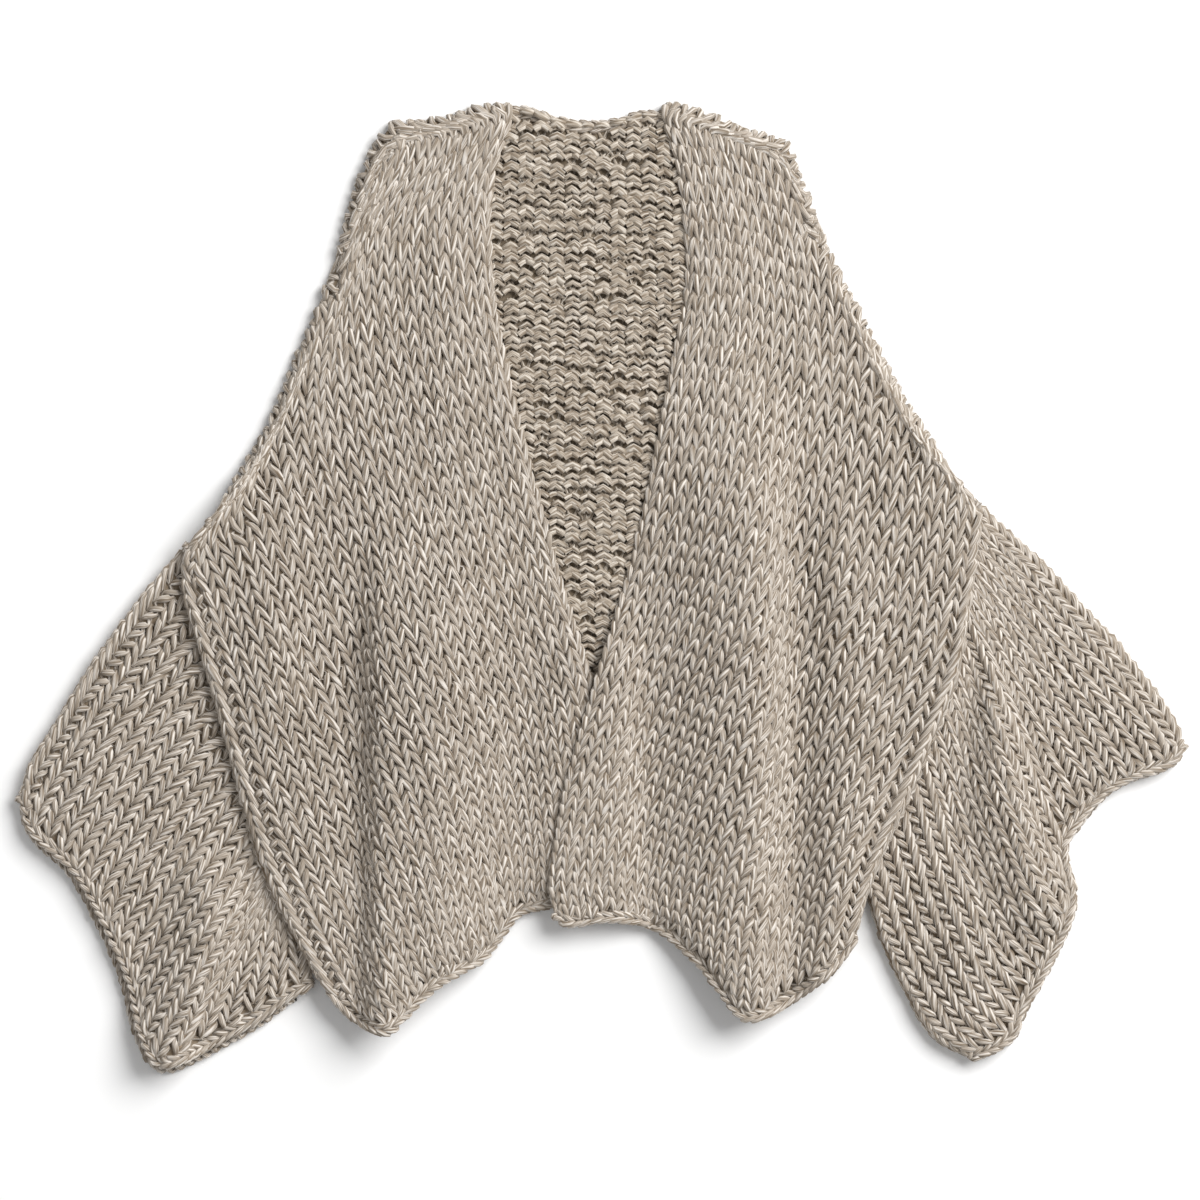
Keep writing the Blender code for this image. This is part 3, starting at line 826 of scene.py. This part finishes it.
def yarn_material(name, dark, middle, light):
    """Marled yarn from the OFBake texture places."""
    material = bpy.data.materials.new(name)
    material.use_nodes = True
    tree = material.node_tree
    shader = tree.nodes["Principled BSDF"]
    uv = node(tree, "ShaderNodeUVMap", uv_map="OFBake")
    split = tree.nodes.new("ShaderNodeSeparateXYZ")
    tree.links.new(uv.outputs[0], split.inputs[0])
    u, v = split.outputs[0], split.outputs[1]
    around = calculate(tree, "ADD", calculate(tree, "MULTIPLY", v, VARIANTS * PLIES_ROUND),
                       calculate(tree, "MULTIPLY", u, VARIANTS * TWIST))
    fine = calculate(tree, "MULTIPLY", around, FIBRES_IN_PLY)
    noises = []
    for across, length, detail in ((around, PLY_LENGTH, PLY_DETAIL),
                                   (fine, FIBRE_LENGTH, FIBRE_DETAIL)):
        place = tree.nodes.new("ShaderNodeCombineXYZ")
        tree.links.new(calculate(tree, "MULTIPLY", u, VARIANTS * length), place.inputs[0])
        tree.links.new(across, place.inputs[1])
        noise = node(tree, "ShaderNodeTexNoise", Scale=1.0, Detail=detail, Roughness=0.5)
        tree.links.new(place.outputs[0], noise.inputs["Vector"])
        noises.append(noise.outputs[0])
    ply, fibre = noises
    mixed = calculate(tree, "ADD", calculate(tree, "MULTIPLY", ply, PLY_SHARE),
                      calculate(tree, "MULTIPLY", fibre, FIBRE_SHARE))
    colour = ramp(tree, mixed, [(DARK_STOP, dark), (MIDDLE_STOP, middle), (LIGHT_STOP, light)])
    tree.links.new(colour, shader.inputs["Base Color"])
    shader.inputs["Roughness"].default_value = 0.85
    shader.inputs["Specular IOR Level"].default_value = 0.25
    shader.inputs["Sheen Weight"].default_value = 0.35
    shader.inputs["Sheen Roughness"].default_value = 0.5
    shader.inputs["Sheen Tint"].default_value = (0.85, 0.80, 0.72, 1.0)
    bump = node(tree, "ShaderNodeBump", Strength=0.5, Distance=YARN_RELIEF)
    tree.links.new(mixed, bump.inputs["Height"])
    tree.links.new(bump.outputs[0], shader.inputs["Normal"])
    return material


outer_yarn = yarn_material("marled_yarn", linear(118, 103, 86), linear(171, 160, 147),
                           linear(224, 217, 209))
# The back's copy of the yarn is painted shade: the same marl with darker middle and light colours.
shaded_yarn_copy = yarn_material("marled_yarn_shaded_copy", linear(118, 103, 86), linear(168, 156, 141),
                           linear(212, 204, 193))
print("yarn materials", outer_yarn.name, shaded_yarn_copy.name)

# %% [markdown]
# Behind the loops lies a thin sheet, coloured with painted shade. It stands for the depth of the cloth,
# where the light does not reach, and it also gives the piece a closed underside.

# %% Painted shade: material of the ground sheet
GROUND_NOISE_SCALE = 90.0
GROUND_RELIEF = 0.001


def painted_shade_material(name, dark, light):
    """Painted shade for the cloth between loops, darker than the yarn, with a knitted relief for the
    underside.
    """
    material = bpy.data.materials.new(name)
    material.use_nodes = True
    tree = material.node_tree
    shader = tree.nodes["Principled BSDF"]
    uv = node(tree, "ShaderNodeUVMap", uv_map="OFBake")
    noise = node(tree, "ShaderNodeTexNoise", Scale=GROUND_NOISE_SCALE, Detail=3.0, Roughness=0.6)
    tree.links.new(uv.outputs[0], noise.inputs["Vector"])
    colour = ramp(tree, noise.outputs[0], [(0.35, dark), (0.65, light)])
    tree.links.new(colour, shader.inputs["Base Color"])
    shader.inputs["Roughness"].default_value = 0.95
    shader.inputs["Specular IOR Level"].default_value = 0.1
    bump = node(tree, "ShaderNodeBump", Strength=0.6, Distance=GROUND_RELIEF)
    tree.links.new(noise.outputs[0], bump.inputs["Height"])
    tree.links.new(bump.outputs[0], shader.inputs["Normal"])
    return material


# Painted shade: the sheet's colours are the yarn's dark ply and a colour below the yarn's middle one.
sheet_painted_shade = painted_shade_material("cloth_shade", linear(118, 103, 86), linear(152, 138, 120))
# The back's sheet is darker still, with more painted shade.
back_sheet_painted_shade = painted_shade_material("cloth_shade_darker_copy", linear(108, 95, 79), linear(140, 127, 110))
print("ground materials", sheet_painted_shade.name, back_sheet_painted_shade.name)

# %% [markdown]
# The sheet is the surface of the panel, sunk by about the radius of the yarn and given a small thickness
# of its own. Every second point is enough, as it only shows through the gaps.

# %% The ground sheet
GROUND_HALF = 0.8
GROUND_SINK = 2.2
GROUND_STEP = 2
LOWEST_TOP = 0.4
PLACES_FROM, PLACES_TO = 0.02, 0.98
TOP_PLACES, LOW_PLACES_START = 0.48, 0.5


def ground(surface, upper):
    """A closed thin sheet just under a surface; upper is a column whose outer side is up."""
    grid = surface[::GROUND_STEP, ::GROUND_STEP]
    if (len(surface) - 1) % GROUND_STEP:
        grid = np.concatenate([grid, surface[-1:, ::GROUND_STEP]])
    normal = np.cross(np.gradient(grid, axis=1), np.gradient(grid, axis=0))
    normal /= np.linalg.norm(normal, axis=2)[:, :, None] + 1e-9
    if normal[:, upper // GROUND_STEP, 2].mean() < 0:
        normal = -normal
    rows, columns = grid.shape[:2]
    centre = grid - normal * GROUND_SINK
    top = centre + normal * GROUND_HALF
    low = centre - normal * GROUND_HALF
    vertices = np.concatenate([top.reshape(-1, 3), low.reshape(-1, 3)])
    vertices[:, 2] = np.maximum(vertices[:, 2], np.repeat([LOWEST_TOP, 0.0], rows * columns))
    index = np.arange(rows * columns).reshape(rows, columns)
    quads = np.stack([index[:-1, :-1], index[:-1, 1:], index[1:, 1:], index[1:, :-1]],
                     axis=-1).reshape(-1, 4)
    below = quads[:, ::-1] + rows * columns
    rim = np.concatenate([index[0], index[1:, -1], index[-1, -2::-1], index[-2:0:-1, 0]])
    following = np.roll(rim, -1)
    wall = np.stack([following, rim, rim + rows * columns, following + rows * columns], axis=-1)
    faces = np.concatenate([quads, below, wall])
    places = np.stack([np.tile(np.linspace(PLACES_FROM, PLACES_TO, columns), rows),
                       np.repeat(np.linspace(PLACES_FROM, PLACES_TO, rows), columns)], axis=-1)
    places = places * [1, TOP_PLACES]
    places = np.concatenate([places, places + [0, LOW_PLACES_START]])
    return vertices, faces, places[faces].reshape(-1, 2)


# %% [markdown]
# A bind-off edge looks like a small braid, so it is the same loop again, run along the edge on a strip
# one wale wide.

# %% Edges
CHAIN_WIDTH = 8.6
CHAIN_PITCH = 7.6
CHAIN_LEG = 11.4
CHAIN_STEP = 3.0
CHAIN_CROWN = 1.6
CHAIN_SMOOTHING = 2


def chain(line, side, seed, lift=1.2, out=0.0, radius=2.3):
    """A bound-off edge along a line in space; side 1 puts its outer half to the left of the line."""
    count = max(int(np.linalg.norm(np.diff(line, axis=0), axis=1).sum() / CHAIN_STEP), 4)
    line = curve(line, count, samples=8)
    way = outward(line[:, :2], side)
    for axis in range(2):
        way[:, axis] = running_mean(way[:, axis], CHAIN_SMOOTHING)
    way /= np.linalg.norm(way, axis=1)[:, None]
    strip = []
    for share in (-0.5, 0.0, 0.5):
        place = line.copy()
        place[:, :2] += way * (out + share * CHAIN_WIDTH)
        place[:, 2] += lift - CHAIN_CROWN * (abs(share) * 2) ** 2
        strip.append(place)
    strip = np.array(strip).transpose(1, 0, 2)
    if side > 0:
        strip = strip[:, ::-1]
    lattice = Lattice(strip, 1, CHAIN_PITCH, 0.0)
    if lattice.normal[:, :, 2].mean() < 0:
        lattice.flip()
    return loops(lattice, radius, CHAIN_LEG, spread=1.5, seed=seed, uneven=0.07)


# %% [markdown]
# Each panel now gets its lattice. The fronts have 27 wales that run on over the arm line, with rows that
# grow longer towards the top, where the weight of the garment hangs. A sleeve's lattice starts a little
# before its upper layer and ends a little after it, so the knit goes round both folds. Of the back, only
# the part in and round the neck opening is knitted; the fronts hide the rest.

# %% Lattices
FRONT_WALES = 27
HIDDEN_ROLL_ROWS = 1
RIGHT_FRONT_PITCH, RIGHT_FRONT_GROWTH = 8.6, 0.105
LEFT_FRONT_PITCH, LEFT_FRONT_GROWTH = 8.4, 0.115
SLEEVE_WALES = 30
SLEEVE_PITCH = 8.5
SLEEVE_SQUARE_AT = 0.4
BEFORE_TOP_FOLD = 60
AFTER_LOW_FOLD = 8
BACK_WALES = 18
BACK_PITCH = 10.2
BACK_SHOWN_COLUMNS = 60
BACK_SHOWN_ROWS = 120
BACK_SHOWN_TOP = [(-108, 346), (-62, 356), (-36, 349), (-12, 345), (14, 347), (38, 353), (100, 342)]
BACK_SHOWN_LOW = [(-108, -140), (100, -140)]


def near_edge(share):
    """How dense the wales lie across a front: closer at its open edge."""
    return 1.15 - 0.3 * share


def upwards(lattice):
    """The lattice with its normals up at its middle wale."""
    if lattice.normal[lattice.wales // 2, :, 2].mean() < 0:
        lattice.flip()
    return lattice


lattices = {
    "right_front": upwards(Lattice(right_front[HIDDEN_ROLL_ROWS:], FRONT_WALES, RIGHT_FRONT_PITCH,
                                   RIGHT_FRONT_GROWTH, near_edge)),
    "left_front": upwards(Lattice(left_front[HIDDEN_ROLL_ROWS:], FRONT_WALES, LEFT_FRONT_PITCH,
                                  LEFT_FRONT_GROWTH, near_edge)),
}
for name, ring in (("right_sleeve", right_sleeve), ("left_sleeve", left_sleeve)):
    shown = np.concatenate([ring[:, BEFORE_TOP_FOLD:], ring[:, :AFTER_LOW_FOLD]], axis=1)
    lattices[name] = upwards(Lattice(shown, SLEEVE_WALES, SLEEVE_PITCH, square_at=SLEEVE_SQUARE_AT,
                                     follow=True))
shown_back = patch(curve(BACK_SHOWN_TOP, BACK_SHOWN_COLUMNS, by_x=True),
                   curve(BACK_SHOWN_LOW, BACK_SHOWN_COLUMNS),
                   curve([BACK_SHOWN_TOP[0], BACK_SHOWN_LOW[0]], BACK_SHOWN_ROWS),
                   curve([BACK_SHOWN_TOP[-1], BACK_SHOWN_LOW[-1]], BACK_SHOWN_ROWS))
shown_back = np.dstack([shown_back, np.full(shown_back.shape[:2], ON_FLOOR)])
lattices["back"] = upwards(Lattice(shown_back, BACK_WALES, BACK_PITCH))
for name, lattice in lattices.items():
    widths = np.linalg.norm(np.diff(lattice.grid, axis=0), axis=2)
    print(name, "mean wale", round(float(widths.mean()), 1), "mm, rows", round(lattice.last.max(), 1))

# %% [markdown]
# Then the yarn is run along each lattice. The fronts' yarn is a little thicker than the sleeves', as
# their cloth hangs looser, and the purl side of the back is the roughest. A sleeve has no stitches above
# the place where the front covers it, which saves thousands of loops that nobody sees.

# %% Knit
RIGHT_SLEEVE_BELOW = 28
LEFT_SLEEVE_BELOW = 62
front_yarn = dict(radius=2.65, leg=12.8, reach=1.28, spread=1.45, uneven=0.08, sides=5)
sleeve_yarn = dict(radius=2.6, leg=12.4, spread=1.4, uneven=0.075)
back_yarn = dict(radius=2.75, leg=11.4, spread=1.5, purl=True, uneven=0.13)
knits = {
    "right_front": loops(lattices["right_front"], seed=3, **front_yarn),
    "left_front": loops(lattices["left_front"], seed=4, **front_yarn),
    "right_sleeve": loops(lattices["right_sleeve"], seed=5, keep=lambda x, y: y < RIGHT_SLEEVE_BELOW,
                          **sleeve_yarn),
    "left_sleeve": loops(lattices["left_sleeve"], seed=6, keep=lambda x, y: y < LEFT_SLEEVE_BELOW,
                         **sleeve_yarn),
    "back": loops(lattices["back"], seed=7, **back_yarn),
}
for name, (vertices, _, _) in knits.items():
    print(name, "knit vertices", len(vertices))

# %% [markdown]
# The chain runs along the hem of each front, along both layers of each cuff, and finer along the neck.

# %% Bound-off edges
HEM_FROM = 2
PAST_SIDE_FOLD = 3
fronts_shown = slice(HEM_FROM, FRONT_COLUMNS + EDGE_STEPS + PAST_SIDE_FOLD)
upper_cuff = slice(SLEEVE_COLUMNS + FOLD_STEPS - 4, 2 * SLEEVE_COLUMNS + FOLD_STEPS + 2)
lower_cuff = slice(4, SLEEVE_COLUMNS)
chains = {
    "right_front": chain(right_front[-1, fronts_shown], 1, 11),
    "left_front": chain(left_front[-1, fronts_shown], -1, 12),
    "right_sleeve": join([chain(right_sleeve[-1, upper_cuff], -1, 13),
                          chain(right_sleeve[-1, lower_cuff], 1, 14)]),
    "left_sleeve": join([chain(left_sleeve[-1, upper_cuff], 1, 15),
                         chain(left_sleeve[-1, lower_cuff], -1, 16)]),
    "back": chain(shown_back[0], 1, 17, lift=0.6, out=-1.0, radius=1.9),
}
print("bound-off edges", len(chains))

# %% [markdown]
# Now the pieces. Each panel is a ground sheet, its loops and its bound-off edge. The ground sheet takes
# the place of the plain solid, and the loops ride on it. The area of each surface is also worked out in
# square metres, and nothing uses it.

# %% Panels
PANEL_UPPER_COLUMN = 30
SLEEVE_UPPER_COLUMN = 140
surfaces = {"right_front": right_front, "left_front": left_front, "back": back,
            "right_sleeve": np.concatenate([right_sleeve, right_sleeve[:, :1]], axis=1),
            "left_sleeve": np.concatenate([left_sleeve, left_sleeve[:, :1]], axis=1)}


def area(surface):
    """Area of a surface in square metres."""
    a = np.diff(surface, axis=1)[:-1]
    b = np.diff(surface, axis=0)[:, :-1]
    return float(np.linalg.norm(np.cross(a, b), axis=2).sum()) * METRES ** 2


for name, surface in surfaces.items():
    # The back takes the darker copies of the yarn and of the sheet, which are painted shade.
    inner = name == "back"
    upper_column = SLEEVE_UPPER_COLUMN if "sleeve" in name else PANEL_UPPER_COLUMN
    first_row = ROLL_STEPS // 2 if "front" in name else 0
    sheet = mesh_object(name + "_cloth", ground(surface[first_row:], upper_column),
                        back_sheet_painted_shade if inner else sheet_painted_shade)
    yarn = mesh_object(name + "_knit", knits[name], shaded_yarn_copy if inner else outer_yarn)
    edge = mesh_object(name + "_bound_edge", chains[name], outer_yarn)
    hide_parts(name)
    for piece in (sheet, yarn, edge):
        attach(piece, "root")
    size = area(surface)

# %% [markdown]
# The picture was taken from straight above. A camera high up with a long lens shows the cloth with hardly
# any perspective, as there.

# %% Camera
PICTURE_SIZE = 0.90
PICTURE_CENTRE = (-0.000375, -0.012375)
CAMERA_HEIGHT = 4.0
CLOTH_HEIGHT = 0.02
SENSOR = 36.0
camera_data = bpy.data.cameras.new("camera")
camera_data.sensor_width = SENSOR
camera_data.lens = SENSOR * CAMERA_HEIGHT / PICTURE_SIZE
camera = bpy.data.objects.new("camera", camera_data)
camera.location = (*PICTURE_CENTRE, CAMERA_HEIGHT + CLOTH_HEIGHT)
bpy.context.scene.collection.objects.link(camera)
bpy.context.scene.camera = camera
print("lens", round(camera_data.lens, 1), "mm at", CAMERA_HEIGHT, "m")

# %% [markdown]
# The floor is a plain white sheet, half a millimetre below the cloth, and large enough that its edges
# stay out of every view.

# %% Floor
FLOOR_HALF = 5.0
FLOOR_BELOW = 0.0005
FLOOR_GREY = 0.95
corners = [(-1, -1), (1, -1), (1, 1), (-1, 1)]
floor_mesh = bpy.data.meshes.new("floor")
floor_mesh.from_pydata([(x * FLOOR_HALF, y * FLOOR_HALF, -FLOOR_BELOW) for x, y in corners], [],
                       [(0, 1, 2, 3)])
floor = bpy.data.objects.new("floor", floor_mesh)
floor_paint = bpy.data.materials.new("floor_paint")
floor_paint.use_nodes = True
floor_shader = floor_paint.node_tree.nodes["Principled BSDF"]
floor_shader.inputs["Base Color"].default_value = (FLOOR_GREY, FLOOR_GREY, FLOOR_GREY, 1.0)
floor_shader.inputs["Roughness"].default_value = 0.9
floor_mesh.materials.append(floor_paint)
bpy.context.scene.collection.objects.link(floor)
print("floor", 2 * FLOOR_HALF, "m wide")

# %% [markdown]
# The picture's shadows lie to the lower left and are wide and weak. So the main light is a large panel
# at the upper right, a small one opposite takes the edge off the dark sides of the folds, and an even
# white world lights the rest. Straight light from above would hide the folds, as yarn looks alike there.

# %% Light
KEY_PLACE, KEY_SIZE, KEY_POWER, KEY_TINT = (3.0, 2.2, 3.9), 3.5, 376.0, (1.0, 0.998, 0.992)
FILL_PLACE, FILL_SIZE, FILL_POWER, FILL_TINT = (-1.6, -0.8, 3.4), 2.2, 12.0, (0.99, 0.995, 1.0)
WORLD_STRENGTH = 0.32
for name, place, size, power, tint in (
        ("key", KEY_PLACE, KEY_SIZE, KEY_POWER, KEY_TINT),
        ("fill", FILL_PLACE, FILL_SIZE, FILL_POWER, FILL_TINT)):
    data = bpy.data.lights.new(name, "AREA")
    data.size = size
    data.energy = power
    data.color = tint
    lamp = bpy.data.objects.new(name, data)
    lamp.location = place
    lamp.rotation_euler = [float(a) for a in (
        math.atan2(math.hypot(place[0], place[1]), place[2]), 0,
        math.atan2(place[1], place[0]) + math.pi / 2)]
    bpy.context.scene.collection.objects.link(lamp)
world = bpy.data.worlds.new("studio")
world.use_nodes = True
world.node_tree.nodes["Background"].inputs[0].default_value = (1.0, 1.0, 1.0, 1.0)
world.node_tree.nodes["Background"].inputs[1].default_value = WORLD_STRENGTH
bpy.context.scene.world = world
bpy.context.scene.view_settings.view_transform = "Standard"
